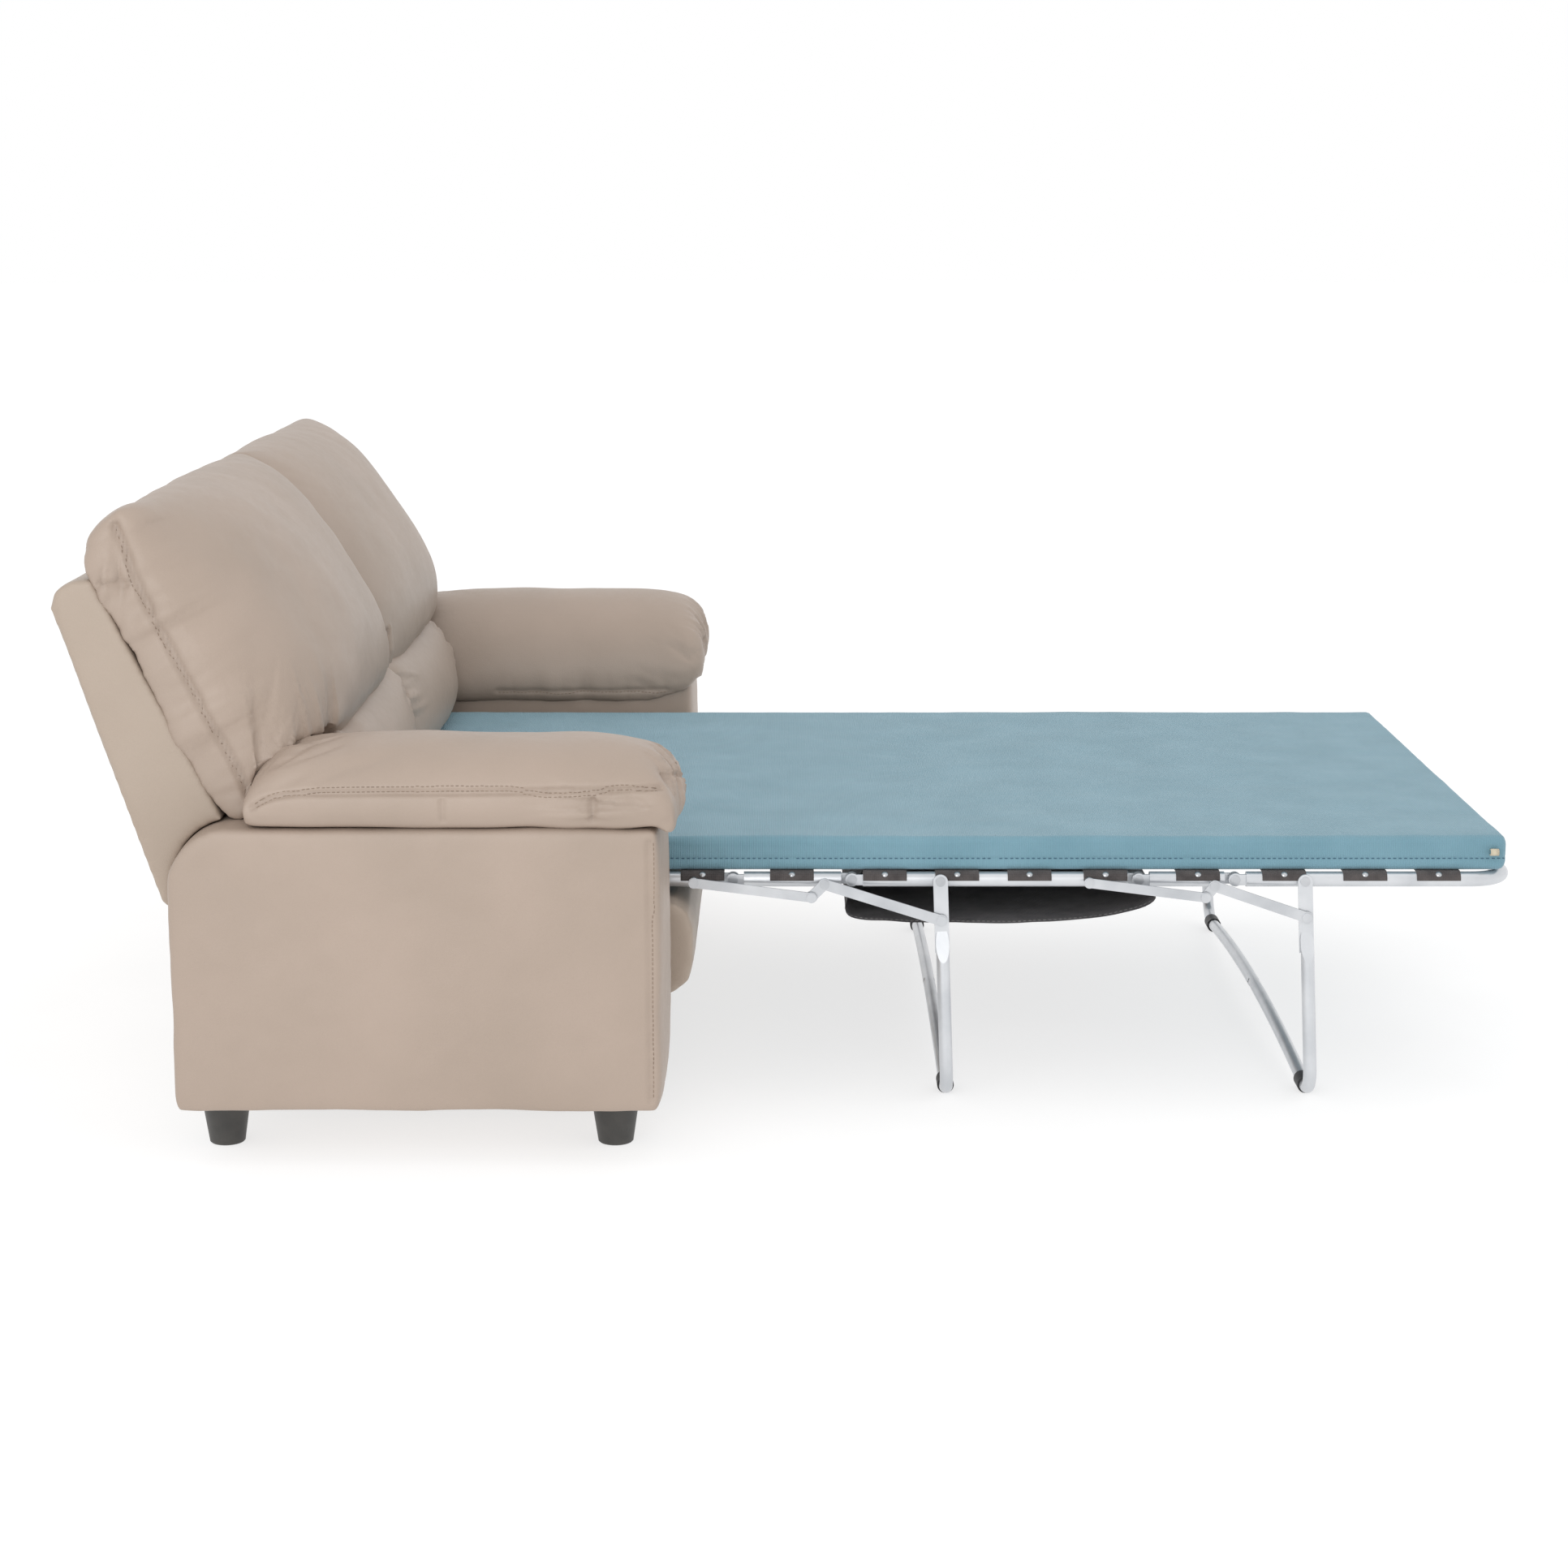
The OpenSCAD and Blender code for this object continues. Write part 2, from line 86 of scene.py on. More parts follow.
def closed_curve(points, per_side):
    """A smooth closed curve through points, with per_side samples from each point to the next."""
    p = np.asarray(points, float)
    before, after, beyond = np.roll(p, 1, 0), np.roll(p, -1, 0), np.roll(p, -2, 0)
    out = []
    for i in range(len(p)):
        for t in np.arange(per_side) / per_side:
            out.append(0.5 * (2 * p[i] + (after[i] - before[i]) * t
                              + (2 * before[i] - 5 * p[i] + 4 * after[i] - beyond[i]) * t * t
                              + (3 * p[i] - before[i] - 3 * after[i] + beyond[i]) * t ** 3))
    return np.array(out)


def mesh_object(name, verts, faces, *materials):
    mesh = bpy.data.meshes.new(name)
    mesh.from_pydata([tuple(v) for v in verts], [], [tuple(f) for f in faces])
    mesh.validate()
    mesh.update()
    obj = bpy.data.objects.new(name, mesh)
    bpy.context.scene.collection.objects.link(obj)
    for m in materials:
        mesh.materials.append(m)
    mesh.polygons.foreach_set("use_smooth", [True] * len(mesh.polygons))
    return obj


def coords(obj):
    co = np.empty(len(obj.data.vertices) * 3)
    obj.data.vertices.foreach_get("co", co)
    return co.reshape(-1, 3)


def set_coords(obj, co):
    obj.data.vertices.foreach_set("co", np.asarray(co, float).ravel())
    obj.data.update()


def normals(obj):
    no = np.empty(len(obj.data.vertices) * 3)
    obj.data.vertices.foreach_get("normal", no)
    return no.reshape(-1, 3)


def apply_modifiers(obj):
    graph = bpy.context.evaluated_depsgraph_get()
    done = bpy.data.meshes.new_from_object(obj.evaluated_get(graph))
    obj.modifiers.clear()
    old = obj.data
    obj.data = done
    bpy.data.meshes.remove(old)
    obj.data.polygons.foreach_set("use_smooth", [True] * len(obj.data.polygons))


def tube_of_rings(rings, close_ends=True):
    """Vertices and faces of a closed form through rings that have the same number of points."""
    count = len(rings[0])
    verts = [p for ring in rings for p in ring]
    faces = []
    for r in range(len(rings) - 1):
        for i in range(count):
            j = (i + 1) % count
            faces.append((r * count + i, r * count + j, (r + 1) * count + j, (r + 1) * count + i))
    if close_ends:
        for r, flip in ((0, True), (len(rings) - 1, False)):
            verts.append(np.mean(rings[r], axis=0))
            hub = len(verts) - 1
            for i in range(count):
                j = (i + 1) % count
                edge = (r * count + i, r * count + j)
                faces.append((edge[1], edge[0], hub) if flip else (edge[0], edge[1], hub))
    return verts, faces


def remesh(obj, voxel, rounds):
    """Even quads all over, with the edges rounded by rounds passes of smoothing."""
    mod = obj.modifiers.new("even", "REMESH")
    mod.mode = "VOXEL"
    mod.voxel_size = voxel
    apply_modifiers(obj)
    mod = obj.modifiers.new("round", "SMOOTH")
    mod.factor = 0.5
    mod.iterations = rounds
    apply_modifiers(obj)


def subdivide(obj):
    mod = obj.modifiers.new("finer", "SUBSURF")
    mod.levels = mod.render_levels = 1
    apply_modifiers(obj)


def inflate(obj, held, pressure=4.0, cap=0.025, frames=20):
    """Blows the form up as sewn cloth. held is each vertex's hold, 1 where a seam or a board keeps it."""
    start = coords(obj)
    group = obj.vertex_groups.new(name="held")
    for i, weight in enumerate(held):
        if weight > 0:
            group.add([i], float(weight), "REPLACE")
    mod = obj.modifiers.new("cloth", "CLOTH")
    mod.settings.use_pressure = True
    mod.settings.uniform_pressure_force = pressure
    mod.settings.effector_weights.gravity = 0
    mod.settings.vertex_group_mass = "held"
    mod.settings.quality = 4
    mod.collision_settings.use_collision = False
    mod.point_cache.frame_start = 1
    mod.point_cache.frame_end = frames
    for f in range(1, frames + 1):
        bpy.context.scene.frame_set(f)
    graph = bpy.context.evaluated_depsgraph_get()
    evaluated = obj.evaluated_get(graph).data
    end = np.empty(len(evaluated.vertices) * 3)
    evaluated.vertices.foreach_get("co", end)
    move = end.reshape(-1, 3) - start
    length = np.linalg.norm(move, axis=1, keepdims=True)
    move *= np.minimum(1, cap / np.maximum(length, 1e-9))
    obj.modifiers.clear()
    obj.vertex_groups.clear()
    bpy.context.scene.frame_set(1)
    set_coords(obj, start + move)


def ripple(obj, height, size, seed=0.0, where=None):
    """Low, soft unevenness over a skin: height in metres, size the width of one swell."""
    co, no = coords(obj), normals(obj)
    lift = np.array([noise.noise(Vector(p / size) + Vector((seed, seed, seed))) for p in co]) * height
    if where is not None:
        lift = lift * where(co)
    set_coords(obj, co + no * lift[:, None])


def dense(points, step=0.004):
    """The same line with a point about every step."""
    p = np.asarray(points, float)
    out = []
    for a, b in zip(p[:-1], p[1:]):
        n = max(int(np.linalg.norm(b - a) / step), 1)
        out += [a + (b - a) * t for t in np.arange(n) / n]
    return np.array(out + [p[-1]])


def smooth_line(points, per_side=8):
    """An open line through points, curved smoothly."""
    p = np.asarray(points, float)
    p = np.vstack([2 * p[0] - p[1], p, 2 * p[-1] - p[-2]])
    out = []
    for i in range(1, len(p) - 2):
        for t in np.arange(per_side) / per_side:
            out.append(0.5 * (2 * p[i] + (p[i + 1] - p[i - 1]) * t
                              + (2 * p[i - 1] - 5 * p[i] + 4 * p[i + 1] - p[i + 2]) * t * t
                              + (3 * p[i] - p[i - 1] - 3 * p[i + 1] + p[i + 2]) * t ** 3))
    return np.array(out + [p[-2]])


def skin(obj):
    faces = [tuple(p.vertices) for p in obj.data.polygons]
    return BVHTree.FromPolygons([tuple(c) for c in coords(obj)], faces)


def lay_on(obj, line, step=0.004):
    """The points of line laid on the skin in one even run, and the skin's normals there."""
    tree = skin(obj)
    points = dense(line, step)
    reach = max(int(0.02 / step), 1)
    for _ in range(2):
        points = np.array([tree.find_nearest(Vector(p))[0] for p in points])
        run_on = np.vstack([[points[0]] * reach, points, [points[-1]] * reach])
        points = np.array([run_on[i:i + 2 * reach + 1].mean(0) for i in range(len(points))])
    found = [tree.find_nearest(Vector(p)) for p in points]
    return np.array([f[0] for f in found]), np.array([f[1] for f in found])


def groove(obj, line, width=0.005, depth=0.003):
    """Draws the skin in along a line, as a seam does."""
    places, _ = lay_on(obj, line)
    tree = KDTree(len(places))
    for i, p in enumerate(places):
        tree.insert(Vector(p), i)
    tree.balance()
    co, no = coords(obj), normals(obj)
    near = np.array([tree.find(Vector(p))[2] for p in co])
    set_coords(obj, co - no * (depth * np.exp(-(near / width) ** 2))[:, None])


def gather(obj, line, reach=0.06, height=0.004, pitch=0.028, seed=3.0):
    """Small folds that run out from a seam and fade over reach."""
    places, _ = lay_on(obj, line)
    run = np.concatenate([[0], np.cumsum(np.linalg.norm(np.diff(places, axis=0), axis=1))])
    tree = KDTree(len(places))
    for i, p in enumerate(places):
        tree.insert(Vector(p), i)
    tree.balance()
    co, no = coords(obj), normals(obj)
    lift = np.zeros(len(co))
    for i, p in enumerate(co):
        _, at, far = tree.find(Vector(p))
        if far < reach:
            s = run[at] / pitch
            broad = noise.noise(Vector((s, far * 6, seed)))
            wave = broad + 0.6 * noise.noise(Vector((s * 2.1, far * 9, seed)))
            lift[i] = wave * height * (1 - far / reach) ** 1.5
    set_coords(obj, co + no * lift[:, None])


def stitches(name, obj, line, offsets, thread, body, slot, pitch=0.0075, length=0.0052, radius=0.0007):
    """Rows of thread beside a seam: each stitch is a short, flattened, round-ended bar lying on the skin."""
    verts, faces = [], []
    places, ups = lay_on(obj, line, 0.0015)
    run = np.concatenate([[0], np.cumsum(np.linalg.norm(np.diff(places, axis=0), axis=1))])
    if run[-1] < pitch:
        return None
    tree = skin(obj)

    def at(s):
        i = min(int(np.searchsorted(run, s)), len(run) - 1)
        return places[i], ups[i]

    for offset in offsets:
        s = pitch / 2
        while s + length < run[-1]:
            a, up = at(s)
            b, _ = at(s + length)
            along = Vector(b - a)
            if along.length > length * 0.3:
                along.normalize()
                up = Vector(up)
                across = along.cross(up).normalized()
                middle = tree.find_nearest(Vector((a + b) / 2) + across * offset)[0]
                base = len(verts)
                for t, fat in ((-0.5, 0.35), (-0.36, 1.0), (0, 1.15), (0.36, 1.0), (0.5, 0.35)):
                    for k in range(6):
                        turn = math.tau * k / 6
                        rim = (across * math.cos(turn) * radius * fat
                               + up * math.sin(turn) * radius * 0.8 * fat)
                        verts.append(middle + along * length * t + rim)
                for ring in range(4):
                    for k in range(6):
                        n = (k + 1) % 6
                        faces.append((base + ring * 6 + k, base + ring * 6 + n,
                                      base + ring * 6 + 6 + n, base + ring * 6 + 6 + k))
                faces.append(tuple(base + k for k in range(5, -1, -1)))
                faces.append(tuple(base + 24 + k for k in range(6)))
            s += pitch
    row = mesh_object(name, verts, faces, thread)
    if body:
        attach(row, body)
    return row


# ---- materials ----

def add(tree, kind, inputs=(), **settings):
    node = tree.nodes.new(kind)
    for key, value in settings.items():
        setattr(node, key, value)
    for key, value in dict(inputs).items():
        node.inputs[key].default_value = value
    return node


def shader(name, color, roughness, metallic=0.0):
    made = bpy.data.materials.new(name)
    made.use_nodes = True
    tree = made.node_tree
    bsdf = tree.nodes["Principled BSDF"]
    bsdf.inputs["Base Color"].default_value = color
    bsdf.inputs["Roughness"].default_value = roughness
    bsdf.inputs["Metallic"].default_value = metallic
    place = add(tree, "ShaderNodeTexCoord").outputs["Object"]
    return made, tree, bsdf, place


def noise_of(tree, place, scale, detail=3.0):
    node = add(tree, "ShaderNodeTexNoise", {"Scale": scale, "Detail": detail})
    tree.links.new(place, node.inputs["Vector"])
    return node.outputs["Fac"]


def scaled(tree, value, factor, offset=0.0):
    node = add(tree, "ShaderNodeMath", {1: factor, 2: offset}, operation="MULTIPLY_ADD")
    tree.links.new(value, node.inputs[0])
    return node.outputs[0]


def summed(tree, *values):
    out = values[0]
    for value in values[1:]:
        node = add(tree, "ShaderNodeMath", operation="ADD")
        tree.links.new(out, node.inputs[0])
        tree.links.new(value, node.inputs[1])
        out = node.outputs[0]
    return out


def mottle(tree, bsdf, value, dark, light):
    """Lets the base colour wander between dark and light as value goes from 0.3 to 0.7."""
    spread = add(tree, "ShaderNodeMapRange", {"From Min": 0.3, "From Max": 0.7})
    tree.links.new(value, spread.inputs["Value"])
    mix = add(tree, "ShaderNodeMix", data_type="RGBA")
    mix.inputs[6].default_value = dark
    mix.inputs[7].default_value = light
    tree.links.new(spread.outputs["Result"], mix.inputs[0])
    tree.links.new(mix.outputs[2], bsdf.inputs["Base Color"])


def relief(tree, bsdf, height, distance, strength=1.0):
    bump = add(tree, "ShaderNodeBump", {"Strength": strength, "Distance": distance})
    tree.links.new(height, bump.inputs["Height"])
    tree.links.new(bump.outputs["Normal"], bsdf.inputs["Normal"])


def ribs_of(tree, place, direction, pitch):
    """Even waves across direction, one every pitch metres."""
    node = add(tree, "ShaderNodeTexWave", {"Scale": math.tau / (20 * pitch), "Distortion": 0.0},
               wave_type="BANDS", bands_direction=direction)
    tree.links.new(place, node.inputs["Vector"])
    return node.outputs["Fac"]


def leather(name, dark, light):
    made, tree, bsdf, place = shader(name, light, 0.45)
    cells = add(tree, "ShaderNodeTexVoronoi", {"Scale": 620.0, "Randomness": 1.0})
    tree.links.new(place, cells.inputs["Vector"])
    creases = noise_of(tree, place, 70.0, 5.0)
    mottle(tree, bsdf, noise_of(tree, place, 5.0, 6.0), dark, light)
    relief(tree, bsdf, summed(tree, scaled(tree, cells.outputs["Distance"], 0.5), creases), 0.0005, 0.7)
    tree.links.new(scaled(tree, creases, 0.16, 0.36), bsdf.inputs["Roughness"])
    bsdf.inputs["Specular IOR Level"].default_value = 0.42
    return made


def woven(name, dark, light, pitch, depth):
    """A plain weave: two sets of waves that cross."""
    made, tree, bsdf, place = shader(name, light, 0.85)
    weave = summed(tree, ribs_of(tree, place, "X", pitch), ribs_of(tree, place, "Y", pitch))
    mottle(tree, bsdf, noise_of(tree, place, 40.0, 5.0), dark, light)
    relief(tree, bsdf, weave, depth, 0.8)
    bsdf.inputs["Sheen Weight"].default_value = 0.15
    return made


def knit(name, dark, light, pitch):
    """Fine ribs that follow one another along the bed, with a shorter wave along each rib."""
    made, tree, bsdf, place = shader(name, light, 0.8)
    ribs = ribs_of(tree, place, "Y", pitch)
    loops = summed(tree, ribs_of(tree, place, "X", pitch * 0.8), ribs_of(tree, place, "Z", pitch * 0.8))
    tone = summed(tree, scaled(tree, noise_of(tree, place, 9.0, 5.0), 0.8), scaled(tree, ribs, 0.22, -0.02))
    mottle(tree, bsdf, tone, dark, light)
    relief(tree, bsdf, summed(tree, ribs, scaled(tree, loops, 0.3)), 0.0006, 0.8)
    bsdf.inputs["Sheen Weight"].default_value = 0.2
    return made


def metal(name, dark, light, roughness, metallic, grain):
    made, tree, bsdf, place = shader(name, light, roughness, metallic)
    fine = noise_of(tree, place, grain, 4.0)
    mottle(tree, bsdf, noise_of(tree, place, 14.0, 5.0), dark, light)
    relief(tree, bsdf, fine, 0.0001, 0.35)
    tree.links.new(scaled(tree, fine, 0.12, roughness - 0.06), bsdf.inputs["Roughness"])
    return made


def plastic(name, dark, light, roughness):
    made, tree, bsdf, place = shader(name, light, roughness)
    fine = noise_of(tree, place, 900.0, 3.0)
    mottle(tree, bsdf, noise_of(tree, place, 22.0, 5.0), dark, light)
    relief(tree, bsdf, fine, 0.0002, 0.5)
    tree.links.new(scaled(tree, fine, 0.15, roughness - 0.07), bsdf.inputs["Roughness"])
    return made


def softwood(name, dark, light):
    made, tree, bsdf, place = shader(name, light, 0.6)
    stretch = add(tree, "ShaderNodeMapping", {"Scale": (0.6, 14.0, 14.0)})
    tree.links.new(place, stretch.inputs["Vector"])
    grain = noise_of(tree, stretch.outputs["Vector"], 5.0, 6.0)
    mottle(tree, bsdf, grain, dark, light)
    relief(tree, bsdf, grain, 0.0006, 0.6)
    return made


CUSHION = leather("cushion_leather", rgb(161, 145, 132), rgb(168, 151, 138))
PANEL = leather("panel_leather", rgb(163, 148, 134), rgb(169, 154, 140))
THREAD = plastic("seam_thread", rgb(122, 105, 91), rgb(148, 130, 114), 0.7)
KNIT = knit("mattress_knit", rgb(107, 146, 161), rgb(120, 158, 173), 0.003)
KNIT_THREAD = plastic("mattress_thread", rgb(52, 84, 104), rgb(70, 104, 124), 0.8)
TAG = woven("tag_cloth", rgb(196, 184, 160), rgb(222, 212, 190), 0.0012, 0.0003)
WEBBING = woven("webbing", rgb(62, 57, 57), rgb(88, 82, 81), 0.0022, 0.0006)
SLING = woven("sling_weave", rgb(88, 85, 87), rgb(110, 106, 108), 0.0016, 0.0004)
HEM_THREAD = plastic("hem_thread", rgb(140, 138, 138), rgb(172, 170, 168), 0.8)
DUST = woven("dust_cloth", rgb(24, 24, 26), rgb(38, 38, 40), 0.002, 0.0003)
TUBE = metal("satin_tube", rgb(196, 199, 203), rgb(216, 218, 221), 0.34, 0.75, 700.0)
PLATE = metal("zinc_plate", rgb(186, 189, 193), rgb(208, 210, 213), 0.38, 0.8, 500.0)
FIXING = metal("zinc_fixing", rgb(172, 175, 179), rgb(204, 206, 209), 0.3, 0.9, 900.0)
FOOT = plastic("foot_plastic", rgb(54, 53, 51), rgb(70, 68, 65), 0.48)
COLLAR = plastic("collar_plastic", rgb(22, 22, 24), rgb(36, 36, 38), 0.5)
WOOD = softwood("frame_wood", rgb(180, 142, 98), rgb(214, 180, 136))

FINISH = {
    "cushion_leather": CUSHION,
    "panel_leather": PANEL,
    "mattress_cover": KNIT,
    "belt_webbing": WEBBING,
    "sling_cloth": SLING,
    "dust_cloth": DUST,
    "tube_steel": TUBE,
    "plate_steel": PLATE,
    "fixing_steel": FIXING,
    "foot_plastic": FOOT,
    "collar_plastic": COLLAR,
    "frame_wood": WOOD,
}

for part in frame["record"]["subparts"]:
    carried = nodes[part["node"]]
    carried.data.materials.clear()
    carried.data.materials.append(FINISH[part["material_slot"]])

# ---- camera, light and floor ----

camera = bpy.data.objects.new("camera", bpy.data.cameras.new("camera"))
bpy.context.scene.collection.objects.link(camera)
camera.location = (-5.526, 0.045, 1.51)
camera.rotation_euler = (math.radians(78.78), 0, math.radians(-90))
camera.data.lens = 70.43
camera.data.sensor_width = 36
bpy.context.scene.camera = camera
bpy.context.scene.view_settings.view_transform = "Standard"

world = bpy.data.worlds.new("studio")
world.use_nodes = True
world.node_tree.nodes["Background"].inputs["Color"].default_value = (1, 1, 1, 1)
world.node_tree.nodes["Background"].inputs["Strength"].default_value = 1.0
bpy.context.scene.world = world


def soft_light(name, place, target, size, power):
    lamp = bpy.data.lights.new(name, "AREA")
    lamp.size = size
    lamp.energy = power
    obj = bpy.data.objects.new(name, lamp)
    bpy.context.scene.collection.objects.link(obj)
    obj.location = place
    obj.rotation_euler = (Vector(target) - Vector(place)).to_track_quat("-Z", "Y").to_euler()


soft_light("near_side", (-4.2, 1.2, 1.7), (-0.6, 0.3, 0.4), 2.6, 44)
soft_light("overhead", (-0.8, -1.8, 4.0), (0, -0.4, 0.3), 3.5, 9)

FLOOR_R = 40.0
FLOOR_SIDES = 96
rim = [math.tau * k / FLOOR_SIDES for k in range(FLOOR_SIDES)]
floor = mesh_object("floor", [(FLOOR_R * math.cos(a), FLOOR_R * math.sin(a), 0) for a in rim],
                    [tuple(range(FLOOR_SIDES))])
pale, pale_tree, pale_bsdf, pale_place = shader("pale_floor", (0.35, 0.35, 0.35, 1), 0.95)
mottle(pale_tree, pale_bsdf, noise_of(pale_tree, pale_place, 3.0),
       (0.34, 0.34, 0.34, 1), (0.36, 0.36, 0.36, 1))
pale_bsdf.inputs["Emission Color"].default_value = (1, 1, 1, 1)
pale_bsdf.inputs["Emission Strength"].default_value = 0.70
pale_bsdf.inputs["Specular IOR Level"].default_value = 0.0
floor.data.materials.append(pale)


# ---- leather-covered body ----

def copy_of(node, name):
    obj = bpy.data.objects.new(name, nodes[node].data.copy())
    bpy.context.scene.collection.objects.link(obj)
    return obj


def mirrored(obj, name):
    obj = bpy.data.objects.new(name, obj.data.copy())
    bpy.context.scene.collection.objects.link(obj)
    co = coords(obj)
    co[:, 0] *= -1
    set_coords(obj, co)
    obj.data.flip_normals()
    return obj


def settle(obj, material, body, replaced=()):
    """Gives a finished piece its material, its body, and the CAD nodes it stands for."""
    obj.data.materials.clear()
    obj.data.materials.append(material)
    obj.data.polygons.foreach_set("use_smooth", [True] * len(obj.data.polygons))
    if body:
        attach(obj, body)
    if replaced:
        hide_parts(*replaced)


def flip(line, side):
    return [(side * x, y, z) for x, y, z in line]


SEAM_PAIR = (-0.0045, 0.0045)


def arm_box():
    """The arm box as it is upholstered: soft edges, a front that stands proud and sides a little full."""
    obj = copy_of("arm_right", "arm_right_cover")
    remesh(obj, 0.009, 6)
    subdivide(obj)
    co = coords(obj)
    mid_x = (ARM_LOW.x + ARM_HIGH.x) / 2
    reach_x = (ARM_HIGH.x - ARM_LOW.x) / 2
    mid_z = (ARM_LOW.z + ARM_HIGH.z) / 2
    reach_z = (ARM_HIGH.z - ARM_LOW.z) / 2
    full_x = np.clip(1 - ((co[:, 0] - mid_x) / reach_x) ** 2, 0, 1)
    full_z = np.clip(1 - ((co[:, 2] - mid_z) / reach_z) ** 4, 0, 1)
    front = 1 - smoothstep(ARM_LOW.y, ARM_LOW.y + 0.04, co[:, 1])
    co[:, 1] -= 0.011 * np.sqrt(full_x) * np.sqrt(full_z) * front
    depth = (co[:, 1] - ARM_LOW.y) / (ARM_HIGH.y - ARM_LOW.y)
    full_y = np.clip(1 - (2 * depth - 1) ** 4, 0, 1)
    outer = smoothstep(ARM_HIGH.x - 0.03, ARM_HIGH.x, co[:, 0])
    co[:, 0] += 0.005 * full_y * full_z * outer
    set_coords(obj, co)
    return obj


arm_master = arm_box()
ARM_SEAM = smooth_line([(0.977, 0.250, 0.100), (0.979, 0.249, 0.30), (0.979, 0.249, 0.525)])
for side, word, seed in ((1, "right", 1.0), (-1, "left", 7.0)):
    arm_cover = arm_master if side > 0 else mirrored(arm_master, "arm_left_cover")
    arm_cover.name = f"arm_{word}_cover"
    ripple(arm_cover, 0.0022, 0.16, seed)
    ripple(arm_cover, 0.0006, 0.035, seed + 3)
    seam = np.array(flip(ARM_SEAM, side))
    groove(arm_cover, seam, 0.0035, 0.0022)
    stitches(f"arm_{word}_stitches", arm_cover, seam, (-0.005 * side,), THREAD, "sofa", "cushion_leather")
    settle(arm_cover, CUSHION, "sofa", (f"arm_{word}",))


PAD_SECTION = [(0.970, 0.538), (0.985, 0.565), (0.979, 0.598), (0.957, 0.630), (0.908, 0.651), (0.850, 0.656),
               (0.780, 0.648), (0.712, 0.616), (0.668, 0.568), (0.651, 0.520), (0.649, 0.492), (0.651, 0.466),
               (0.660, 0.455), (0.672, 0.460), (0.676, 0.478), (0.676, 0.505), (0.679, 0.528), (0.695, 0.537),
               (0.740, 0.537), (0.800, 0.537), (0.860, 0.537), (0.920, 0.537), (0.955, 0.537)]
PAD_REAR, PAD_FRONT_END = 0.868, 0.209
PAD_SEAT = 0.545
PAD_WIDTH = [(0.209, 0.80), (0.214, 0.90), (0.224, 0.96), (0.240, 0.99), (0.270, 1.0), (0.840, 1.0),
             (0.860, 0.97), (0.868, 0.93)]
PAD_RISE = [(0.209, 0.30), (0.213, 0.48), (0.222, 0.68), (0.236, 0.82), (0.262, 0.92), (0.300, 0.98),
            (0.340, 1.0), (0.760, 1.0), (0.810, 0.92), (0.845, 0.72), (0.862, 0.50), (0.868, 0.30)]


def arm_pad():
    """A stuffed roll that lies over the arm box, with a nose that hangs over its front."""
    loop = closed_curve(PAD_SECTION, 5)
    centre_x = 0.835
    rings = []
    for y in np.concatenate([np.arange(PAD_REAR, 0.27, -0.006), np.arange(0.27, PAD_FRONT_END, -0.003)]):
        wide = np.interp(y, *zip(*PAD_WIDTH))
        rise = np.interp(y, *zip(*PAD_RISE))
        ring = loop.copy()
        ring[:, 0] = centre_x + (loop[:, 0] - centre_x) * wide
        lift = smoothstep(0.53, 0.66, loop[:, 1])
        ring[:, 1] = loop[:, 1] - (loop[:, 1] - PAD_SEAT) * (1 - rise) * lift ** 0.5
        skirt = np.interp(y, (PAD_FRONT_END, 0.240, 0.320), (0.25, 0.70, 1.0))
        ring[:, 1] = np.where(ring[:, 1] < PAD_SEAT, PAD_SEAT - (PAD_SEAT - ring[:, 1]) * skirt, ring[:, 1])
        nose = 1 - smoothstep(0.222, 0.240, y)
        low = np.clip((0.565 - ring[:, 1]) / 0.025, 0, 1)
        outside = smoothstep(0.665, 0.70, ring[:, 0])
        ring[:, 1] -= 0.022 * nose * low * outside
        rings.append(np.column_stack([ring[:, 0], np.full(len(ring), y), ring[:, 1]]))
    obj = mesh_object("arm_pad_right_cover", *tube_of_rings(rings))
    obj.data.flip_normals()
    remesh(obj, 0.008, 3)
    co = coords(obj)
    resting = (np.abs(co[:, 2] - 0.537) < 0.007) & (co[:, 0] > 0.67) & (co[:, 1] > 0.25)
    inner = (co[:, 0] > 0.664) & (co[:, 0] < 0.680) & (co[:, 2] < 0.540)
    rear = co[:, 1] > 0.855
    inflate(obj, np.where(resting | inner | rear, 1.0, 0.0), 2.5, 0.008)
    subdivide(obj)
    return obj


pad_master = arm_pad()
PAD_SEAM = smooth_line([(0.975, 0.857, 0.566), (0.980, 0.835, 0.580), (0.982, 0.790, 0.594),
                        (0.981, 0.560, 0.597), (0.981, 0.400, 0.598), (0.981, 0.335, 0.598),
                        (0.978, 0.285, 0.600), (0.970, 0.245, 0.600), (0.955, 0.226, 0.598)])
PAD_MIDDLE = [(0.986, 0.562, 0.596), (0.990, 0.562, 0.570), (0.975, 0.562, 0.542)]
PAD_FRONT = [(0.986, 0.335, 0.598), (0.990, 0.335, 0.570), (0.975, 0.335, 0.542)]
PAD_INNER = smooth_line([(0.647, 0.640, 0.478), (0.646, 0.460, 0.477), (0.647, 0.275, 0.479)])
PAD_BACK = [(0.70, 0.835, 0.615), (0.80, 0.830, 0.640), (0.90, 0.835, 0.630)]
PAD_NOSE = [(0.70, 0.214, 0.560), (0.78, 0.208, 0.585), (0.86, 0.208, 0.600), (0.93, 0.215, 0.618)]
